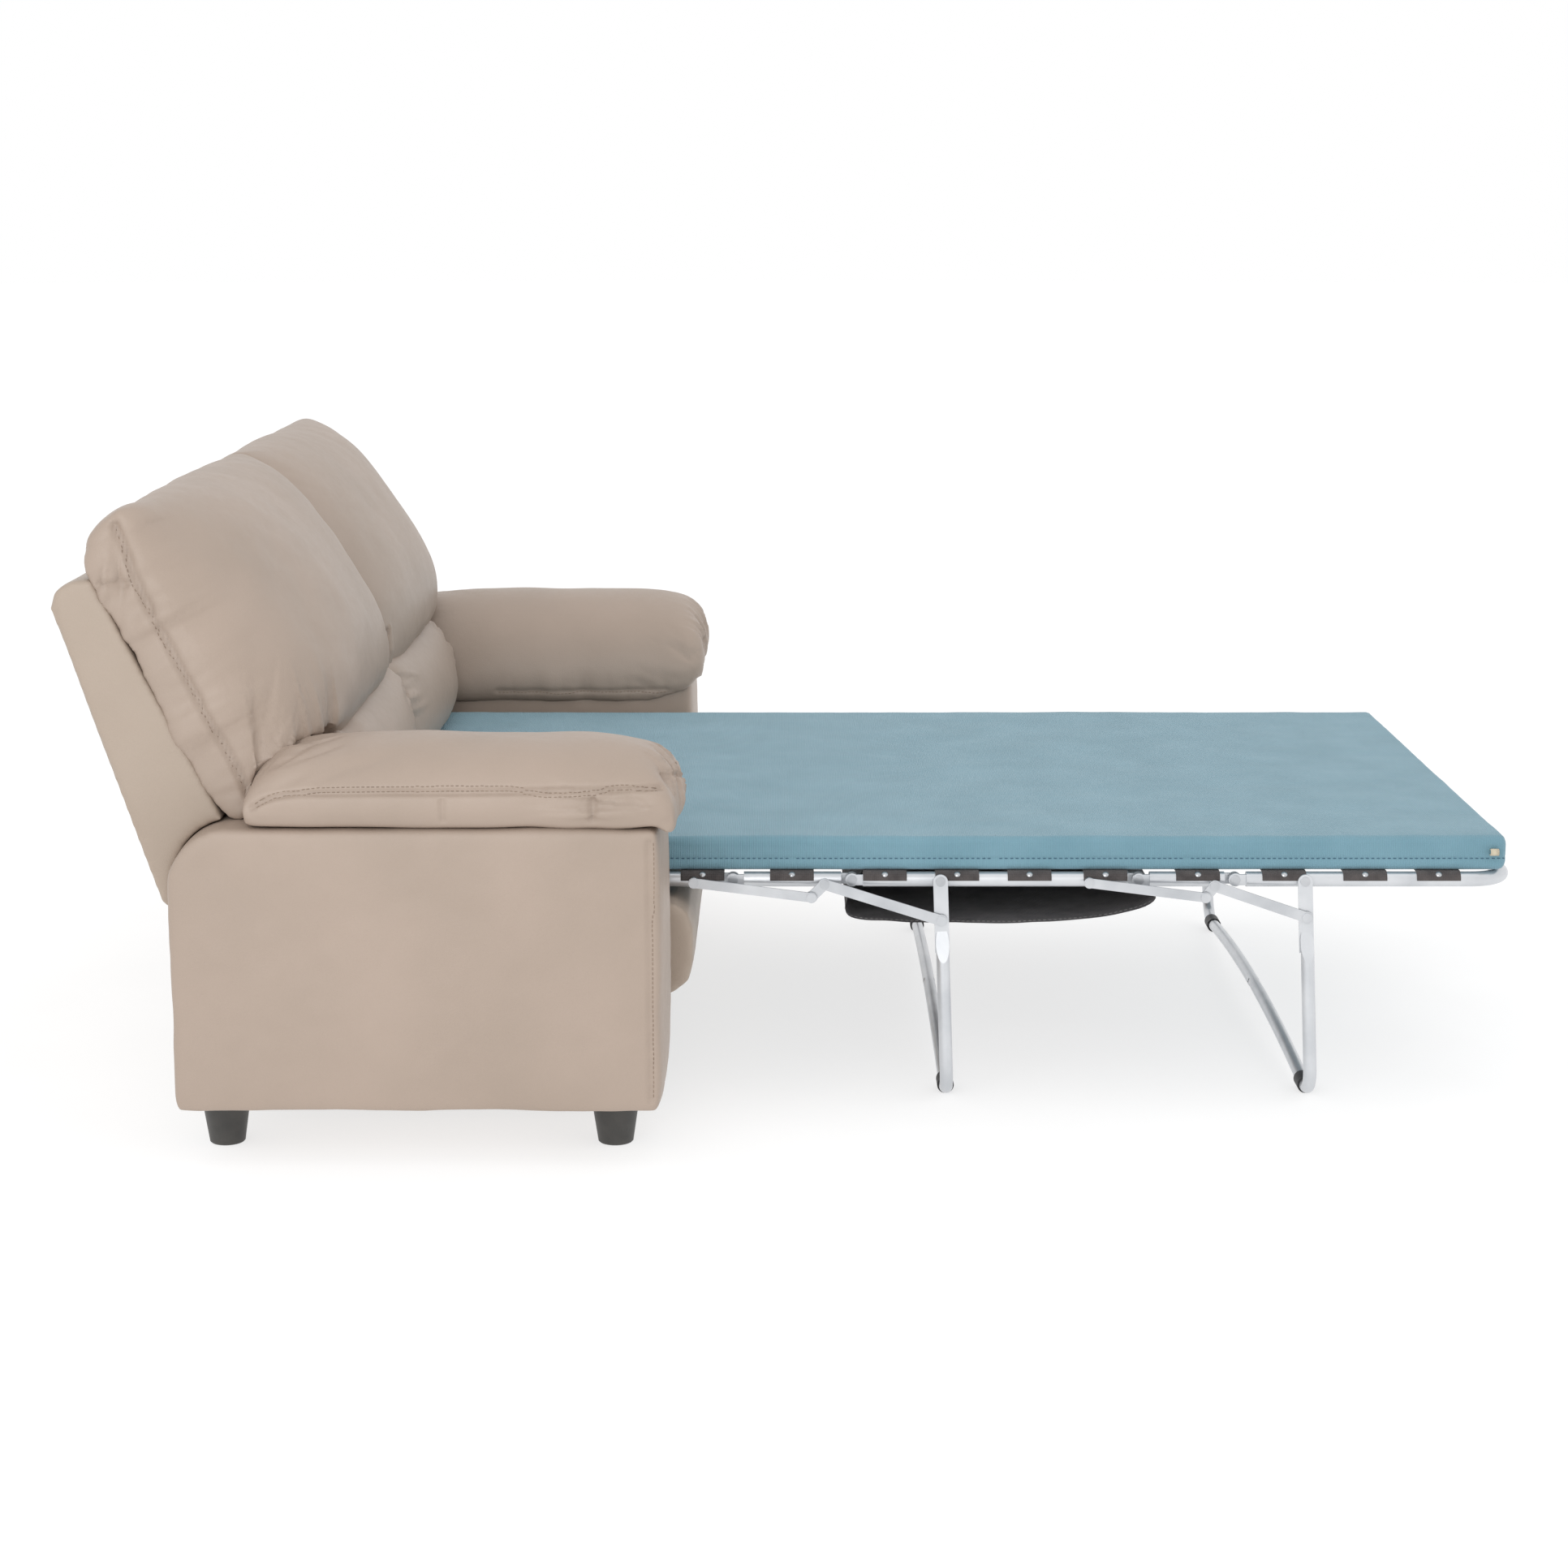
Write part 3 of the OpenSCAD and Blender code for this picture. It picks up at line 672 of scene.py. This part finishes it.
for side, word, seed in ((1, "right", 2.0), (-1, "left", 9.0)):
    pad = pad_master if side > 0 else mirrored(pad_master, "arm_pad_left_cover")
    pad.name = f"arm_pad_{word}_cover"
    ripple(pad, 0.003, 0.11, seed)
    gather(pad, flip(PAD_FRONT, side), 0.12, 0.0100, 0.034, seed)
    gather(pad, flip(PAD_NOSE, side), 0.08, 0.0120, 0.028, seed + 2)
    gather(pad, flip(PAD_INNER, side), 0.06, 0.0030, 0.05, seed + 4)
    gather(pad, flip(PAD_BACK, side), 0.10, 0.0090, 0.030, seed + 6)
    for line, width, depth in ((PAD_SEAM, 0.005, 0.0034), (PAD_MIDDLE, 0.0035, 0.0022),
                               (PAD_FRONT, 0.004, 0.0032), (PAD_INNER, 0.005, 0.003),
                               (PAD_NOSE, 0.005, 0.003)):
        groove(pad, flip(line, side), width, depth)
    stitches(f"arm_pad_{word}_stitches", pad, flip(PAD_SEAM, side), SEAM_PAIR, THREAD, "sofa",
             "cushion_leather")
    stitches(f"arm_pad_{word}_inner_stitches", pad, flip(PAD_INNER, side), (0.005,), THREAD, "sofa",
             "cushion_leather")
    settle(pad, CUSHION, "sofa", (f"arm_pad_{word}",))


BACK_END = [(0.908, 0.538), (1.018, 0.752), (1.097, 0.908), (1.094, 0.955), (1.077, 0.990), (1.050, 1.000),
            (1.026, 0.895), (0.959, 0.760), (0.898, 0.640), (0.858, 0.550)]
BACK_MIDDLE = [(0.925, 0.575), (1.020, 0.755), (1.098, 0.918), (1.092, 0.982), (1.060, 1.010), (1.000, 1.026),
               (0.912, 0.992), (0.806, 0.866), (0.741, 0.736), (0.762, 0.624)]
BACK_OUT = 0.906
BACK_PEAK = 0.42
BACK_VALLEY = 0.60


def fullness(x, inner, peak, outer, valley, outer_keep=0.0, power=2.3):
    """How far a cushion is stuffed at x: full at its peak, less at its ends."""
    if x > peak:
        round_off = max(1 - ((x - peak) / (outer - peak)) ** power, 0) ** (1 / power)
        return outer_keep + (1 - outer_keep) * round_off
    round_off = max(1 - ((peak - x) / (peak - inner)) ** power, 0) ** (1 / power)
    return valley + (1 - valley) * round_off


def cushion_rings(xs, end, middle, full, per_side=8):
    a, b = closed_curve(end, per_side), closed_curve(middle, per_side)
    rings = []
    for x in xs:
        loop = a + (b - a) * full(x)
        rings.append(np.column_stack([np.full(len(loop), x), loop[:, 0], loop[:, 1]]))
    return rings


def eased(low, high, count):
    """Places from low to high that crowd together towards both ends."""
    t = (1 - np.cos(np.linspace(0, math.pi, count))) / 2
    return low + (high - low) * t


def clear_of_pad(obj):
    """Lifts a cushion's underside over the arm pad that it rests on."""
    co = coords(obj)
    over = smoothstep(0.62, 0.70, co[:, 0]) * (1 - smoothstep(0.862, 0.872, co[:, 1]))
    rest = PAD_SEAT + (PAD_HIGH.z - 0.008 - PAD_SEAT) * np.interp(co[:, 1], *zip(*PAD_RISE))
    co[:, 2] += np.clip(rest - co[:, 2], 0, None) * over
    set_coords(obj, co)


def back_cushion():
    def full(x):
        return fullness(x, GAP, BACK_PEAK, BACK_OUT, BACK_VALLEY)

    rings = cushion_rings(eased(GAP, BACK_OUT, 80), BACK_END, BACK_MIDDLE, full)
    obj = mesh_object("back_cushion_right_cover", *tube_of_rings(rings))
    clear_of_pad(obj)
    remesh(obj, 0.010, 2)
    co = coords(obj)
    board = 0.538 + (co[:, 1] - 0.908) * 1.96
    behind = (co[:, 2] < board + 0.02) & (co[:, 1] > 0.9)
    held = behind | (co[:, 0] > BACK_OUT - 0.008) | (co[:, 0] < GAP + 0.012) | (co[:, 2] < 0.672)
    inflate(obj, np.where(held, 1.0, 0.0), 4.0, 0.012)
    subdivide(obj)
    return obj


back_master = back_cushion()
BACK_SEAM = smooth_line([(0.903, 1.060, 1.000), (0.904, 1.046, 0.970), (0.904, 1.020, 0.890),
                         (0.904, 0.957, 0.760), (0.904, 0.896, 0.640), (0.904, 0.862, 0.568)])
BACK_CORNER = [(0.908, 1.092, 0.906), (0.908, 1.055, 0.900), (0.908, 1.028, 0.905)]
BACK_FOOT = smooth_line([(0.895, 0.875, 0.662), (0.84, 0.850, 0.664), (0.76, 0.815, 0.664),
                         (0.68, 0.785, 0.664)])
BACK_TUCK = [(GAP, 0.790, 0.700), (GAP, 0.770, 0.660), (0.06, 0.765, 0.655)]
for side, word, seed in ((1, "right", 3.0), (-1, "left", 11.0)):
    cushion = back_master if side > 0 else mirrored(back_master, "back_cushion_left_cover")
    cushion.name = f"back_cushion_{word}_cover"
    ripple(cushion, 0.005, 0.22, seed)
    ripple(cushion, 0.0015, 0.06, seed + 1)
    gather(cushion, flip(BACK_SEAM, side), 0.14, 0.0080, 0.060, seed)
    gather(cushion, flip(BACK_CORNER, side), 0.10, 0.0110, 0.024, seed + 2)
    gather(cushion, flip(BACK_FOOT, side), 0.15, 0.0130, 0.045, seed + 4)
    gather(cushion, flip(BACK_TUCK, side), 0.15, 0.0110, 0.034, seed + 6)
    groove(cushion, flip(BACK_SEAM, side), 0.006, 0.0045)
    groove(cushion, flip(BACK_CORNER, side), 0.004, 0.003)
    stitches(f"back_cushion_{word}_stitches", cushion, flip(BACK_SEAM, side), (-0.007 * side,), THREAD,
             "sofa", "cushion_leather")
    settle(cushion, CUSHION, "sofa", (f"back_cushion_{word}",))


LUMBAR_END = [(0.860, 0.452), (0.874, 0.625), (0.822, 0.640), (0.776, 0.624), (0.746, 0.550), (0.742, 0.480),
              (0.765, 0.453)]
LUMBAR_MIDDLE = [(0.860, 0.452), (0.874, 0.625), (0.803, 0.646), (0.736, 0.622), (0.700, 0.550),
                 (0.697, 0.485), (0.725, 0.453)]
LUMBAR_OUT = 0.655
LUMBAR_PEAK = 0.33
LUMBAR_VALLEY = 0.10
LUMBAR_KEEP = 0.35


def lumbar_cushion():
    def full(x):
        return fullness(x, GAP, LUMBAR_PEAK, LUMBAR_OUT, LUMBAR_VALLEY, LUMBAR_KEEP)

    rings = cushion_rings(eased(GAP, LUMBAR_OUT, 70), LUMBAR_END, LUMBAR_MIDDLE, full)
    obj = mesh_object("lumbar_cushion_right_cover", *tube_of_rings(rings))
    remesh(obj, 0.008, 3)
    co = coords(obj)
    held = (co[:, 1] > 0.84) | (co[:, 2] < 0.462) | (co[:, 0] < GAP + 0.01) | (co[:, 0] > LUMBAR_OUT - 0.01)
    inflate(obj, np.where(held, 1.0, 0.0), 4.0, 0.012)
    subdivide(obj)
    return obj


lumbar_master = lumbar_cushion()
LUMBAR_TUCK = [(0.004, 0.752, 0.635), (0.006, 0.748, 0.600), (0.006, 0.742, 0.520)]
LUMBAR_SIDE = [(0.650, 0.770, 0.640), (0.652, 0.745, 0.560), (0.650, 0.735, 0.490)]
for side, word, seed in ((1, "right", 4.0), (-1, "left", 13.0)):
    lumbar = lumbar_master if side > 0 else mirrored(lumbar_master, "lumbar_cushion_left_cover")
    lumbar.name = f"lumbar_cushion_{word}_cover"
    ripple(lumbar, 0.003, 0.14, seed)
    gather(lumbar, flip(LUMBAR_TUCK, side), 0.14, 0.0110, 0.034, seed)
    gather(lumbar, flip(LUMBAR_SIDE, side), 0.12, 0.0120, 0.030, seed + 2)
    settle(lumbar, CUSHION, "sofa", (f"lumbar_cushion_{word}",))


def panel(node, name, voxel, rounds, seed, swell=0.0):
    """A board covered in leather: the CAD board with soft edges and a slight swell."""
    obj = copy_of(node, name)
    remesh(obj, voxel, rounds)
    subdivide(obj)
    ripple(obj, 0.0016, 0.16, seed)
    if swell:
        co, no = coords(obj), normals(obj)
        low, high = co.min(0), co.max(0)
        across = 2 * (co - low) / (high - low) - 1
        full = np.clip(1 - across[:, 0] ** 8, 0, 1) * np.clip(1 - across[:, 2] ** 4, 0, 1)
        set_coords(obj, co + no * (swell * full)[:, None])
    return obj


shell = panel("back_shell", "back_shell_cover", 0.008, 5, 21.0)
SHELL_EDGE = smooth_line([(0.900, 1.028, 0.500), (0.901, 1.090, 0.660), (0.901, 1.150, 0.828),
                          (0.901, 1.148, 0.868)])
for side in (1, -1):
    groove(shell, flip(SHELL_EDGE, side), 0.0035, 0.002)
settle(shell, PANEL, "sofa", ("back_shell",))

rear = panel("rear_panel", "rear_panel_cover", 0.008, 4, 23.0, 0.003)
settle(rear, PANEL, "sofa", ("rear_panel",))

board = panel("front_board", "front_board_cover", 0.007, 3, 25.0, 0.003)
BOARD_FOLD_Z = BOARD_LOW.z + 0.012
fold = [(x, BOARD_LOW.y + 0.034, BOARD_FOLD_Z) for x in (-0.64, -0.3, 0.0, 0.3, 0.64)]
gather(board, fold, 0.07, 0.005, 0.05, 5.0)
groove(board, fold, 0.005, 0.003)
stitches("front_board_stitches", board, fold, (0.006,), THREAD, "sofa", "panel_leather")
settle(board, PANEL, "sofa", ("front_board",))

plinth = panel("front_plinth", "front_plinth_cover", 0.004, 2, 27.0)
settle(plinth, PANEL, "sofa", ("front_plinth",))


# ---- mattress: one long cover in four lengths, each listed with one hinge ----

BED_HALF = BED_HEAD[1].x
BED_LOW, BED_TOP = BED_HEAD[0].z, BED_HEAD[1].z
BED_START, BED_END = BED_HEAD[1].y, BED_FOOT[0].y
EDGE_R = 0.012
ROW = 0.006
SEAM_Z = BED_LOW + (BED_TOP - BED_LOW) * 0.36
SEAM_RUN_ON = 0.02      # a seam is drawn this far past its length, so that its stitches reach the join
BED_STITCH = (0.009, 0.0055, 0.0008)    # pitch, length and radius


def mattress_outline():
    """The cover's cross-section: x, z, and each point's share of the top's and of the side's waviness."""
    out = []
    flat = BED_HALF - EDGE_R
    for x in np.linspace(-flat, flat, 72):
        out.append((x, BED_TOP, 1.0, 0.0))
    for a in np.radians(np.linspace(80, 10, 5)):
        out.append((flat + EDGE_R * math.cos(a), BED_TOP - EDGE_R + EDGE_R * math.sin(a), 0.5, 0.5))
    for z in np.linspace(BED_TOP - EDGE_R, BED_LOW + EDGE_R, 12):
        dip = 0.0022 * math.exp(-((z - SEAM_Z) / 0.0022) ** 2)
        out.append((BED_HALF - dip, z, 0.0, 1.0))
    for a in np.radians(np.linspace(-10, -80, 4)):
        out.append((flat + EDGE_R * math.cos(a), BED_LOW + EDGE_R + EDGE_R * math.sin(a), 0.0, 0.5))
    for x in np.linspace(flat, -flat, 36):
        out.append((x, BED_LOW, 0.0, 0.0))
    for x, z, top, edge in reversed(out[72:93]):
        out.append((-x, z, top, edge))
    return out


OUTLINE = mattress_outline()


def wavy(x, y, seed, size):
    return noise.noise(Vector((x / size, y / size, seed)))


def mattress_ring(y):
    """The cross-section at y, drawn in towards the two outer ends so that their edges are round."""
    from_end = max(min(BED_START - y, y - BED_END), 0.0)
    inset = 0.0
    if from_end < EDGE_R:
        inset = EDGE_R - math.sqrt(max(EDGE_R ** 2 - (EDGE_R - from_end) ** 2, 0))
    mid_z = (BED_LOW + BED_TOP) / 2
    ring = []
    for x, z, top, edge in OUTLINE:
        side = math.copysign(1, x)
        lift = top * (0.0016 * wavy(x, y, 5.0, 0.16) + 0.0009 * wavy(x, y, 8.0, 0.05))
        push = edge * side * (0.0018 * wavy(0.3 * side, y, 11.0, 0.09) + 0.0008 * wavy(z * 3, y, 14.0, 0.03))
        fit_x = (BED_HALF - inset) / BED_HALF
        fit_z = ((BED_TOP - BED_LOW) / 2 - inset) / ((BED_TOP - BED_LOW) / 2)
        ring.append((x * fit_x + push, y, mid_z + (z - mid_z) * fit_z + lift))
    return np.array(ring)


def rows_between(start, end):
    count = max(int(round((start - end) / ROW)), 1)
    rows = list(np.linspace(start, end, count + 1))
    for limit in (BED_START, BED_END):
        if min(abs(limit - start), abs(limit - end)) < 1e-6:
            toward = -1 if limit == BED_START else 1
            rows += [limit + toward * EDGE_R * f for f in (0.06, 0.2, 0.5)]
    return sorted(set(rows), reverse=True)


BED_PARTS = (
    ("head", BED_START, 0.031, "sofa", "riser_1", "mid_fold", ("mattress_head",)),
    ("riser_1", 0.031, -0.303, "riser_1", "mid_section", "mid_fold_upper", ("mattress_riser_1",)),
    ("mid", -0.303, -0.6185, "mid_section", "riser_2", "foot_fold", ("mattress_mid", "mattress_riser_2")),
    ("foot", -0.6185, BED_END, "riser_2", "foot_section", "foot_fold_upper", ("mattress_foot",)),
)


def bend(obj):
    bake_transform(obj)


def sharp_ends(obj, faces_before):
    """Keeps the hidden caps between two lengths from turning the cover's shading."""
    rim = set()
    for polygon in obj.data.polygons:
        if polygon.index >= faces_before:
            rim.update(polygon.edge_keys)
    for edge in obj.data.edges:
        if tuple(sorted(edge.vertices)) in rim:
            edge.use_edge_sharp = True


for word, start, end, body_a, body_b, hinge, replaced in BED_PARTS:
    rings = [mattress_ring(y) for y in rows_between(start, end)]
    verts, faces = tube_of_rings(rings)
    length = mesh_object(f"mattress_{word}_cover", verts, faces)
    sharp_ends(length, (len(rings) - 1) * len(OUTLINE))
    for side in (1, -1):
        hand = "right" if side > 0 else "left"
        seam = [(side * (BED_HALF - 0.001), y, SEAM_Z) for y in (start + SEAM_RUN_ON, end - SEAM_RUN_ON)]
        row = stitches(f"mattress_{word}_stitches_{hand}", length, seam, (0.0,), KNIT_THREAD, None,
                       "mattress_cover", *BED_STITCH)
        bend(row)
    settle(length, KNIT, None, replaced)
    bend(length)

for word, y, body in (("foot", BED_END + 0.0004, "foot_section"), ("head", BED_START - 0.0004, "sofa")):
    end_piece = bpy.data.objects[f"mattress_{word}_cover"]
    seam = [(x, y, SEAM_Z) for x in (-BED_HALF + 0.02, BED_HALF - 0.02)]
    stitches(f"mattress_{word}_end_stitches", end_piece, seam, (0.0,), KNIT_THREAD, body, "mattress_cover",
             *BED_STITCH)


def cover_tag():
    """A small folded loop of tape sewn into the seam at the near corner of the foot end."""
    loop = [(0, 0.0), (-0.006, 0.0035), (-0.011, 0.001), (-0.012, -0.004), (-0.008, -0.008), (0, -0.0075)]
    path = smooth_line([(x, 0, z) for x, z in loop], 6)
    verts, faces = [], []
    for i, (x, _, z) in enumerate(path):
        for inner in (0.0, 0.0009):
            shrink = 1 - inner / 0.012
            for y in (-0.007, 0.007):
                verts.append((-BED_HALF + 0.001 + x * shrink, BED_END + 0.022 + y,
                              SEAM_Z + 0.014 + z * shrink))
        if i:
            a, b = (i - 1) * 4, i * 4
            faces += [(a, a + 1, b + 1, b), (a + 3, a + 2, b + 2, b + 3),
                      (a + 2, a, b, b + 2), (a + 1, a + 3, b + 3, b + 1)]
    last = (len(path) - 1) * 4
    faces += [(0, 2, 3, 1), (last, last + 1, last + 3, last + 2)]
    tag = mesh_object("mattress_tag", verts, faces)
    settle(tag, TAG, "foot_section")


cover_tag()


# ---- sling under the middle section ----

SLING_PATH = [(-0.087, 0.3848), (-0.064, 0.345), (-0.062, 0.304), (-0.130, 0.294), (-0.216, 0.292),
              (-0.360, 0.292), (-0.493, 0.304), (-0.572, 0.334), (-0.516, 0.3848)]
SLING_HALF = SLING_HIGH.x
HEM_DEPTH = 0.012
HEM_STITCH = (0.0085, 0.0055, 0.0009)   # pitch, length and radius

sling_line = dense(smooth_line([(0, y, z) for y, z in SLING_PATH], 8), 0.008)
across = np.linspace(-SLING_HALF, SLING_HALF, 130)
sling_verts = []
for _, y, z in sling_line:
    hang = 1 - smoothstep(0.31, 0.37, z)
    for x in across:
        sag = 0.0025 * wavy(x, y, 3.0, 0.11) + 0.0012 * wavy(x, y, 6.0, 0.04)
        sling_verts.append((x, y, z + sag * hang))
wide = len(across)
sling_faces = [(r * wide + i, r * wide + i + 1, (r + 1) * wide + i + 1, (r + 1) * wide + i)
               for r in range(len(sling_line) - 1) for i in range(wide - 1)]
sling = mesh_object("sling_cloth", sling_verts, sling_faces)
settle(sling, SLING, "mid_section", ("sling",))
for side, word in ((1, "right"), (-1, "left")):
    hem_line = [(side * (SLING_HALF - HEM_DEPTH), y, z) for _, y, z in sling_line]
    hem = stitches(f"sling_hem_{word}", sling, hem_line, (0.0,), HEM_THREAD, "mid_section", "sling_cloth",
                   *HEM_STITCH)
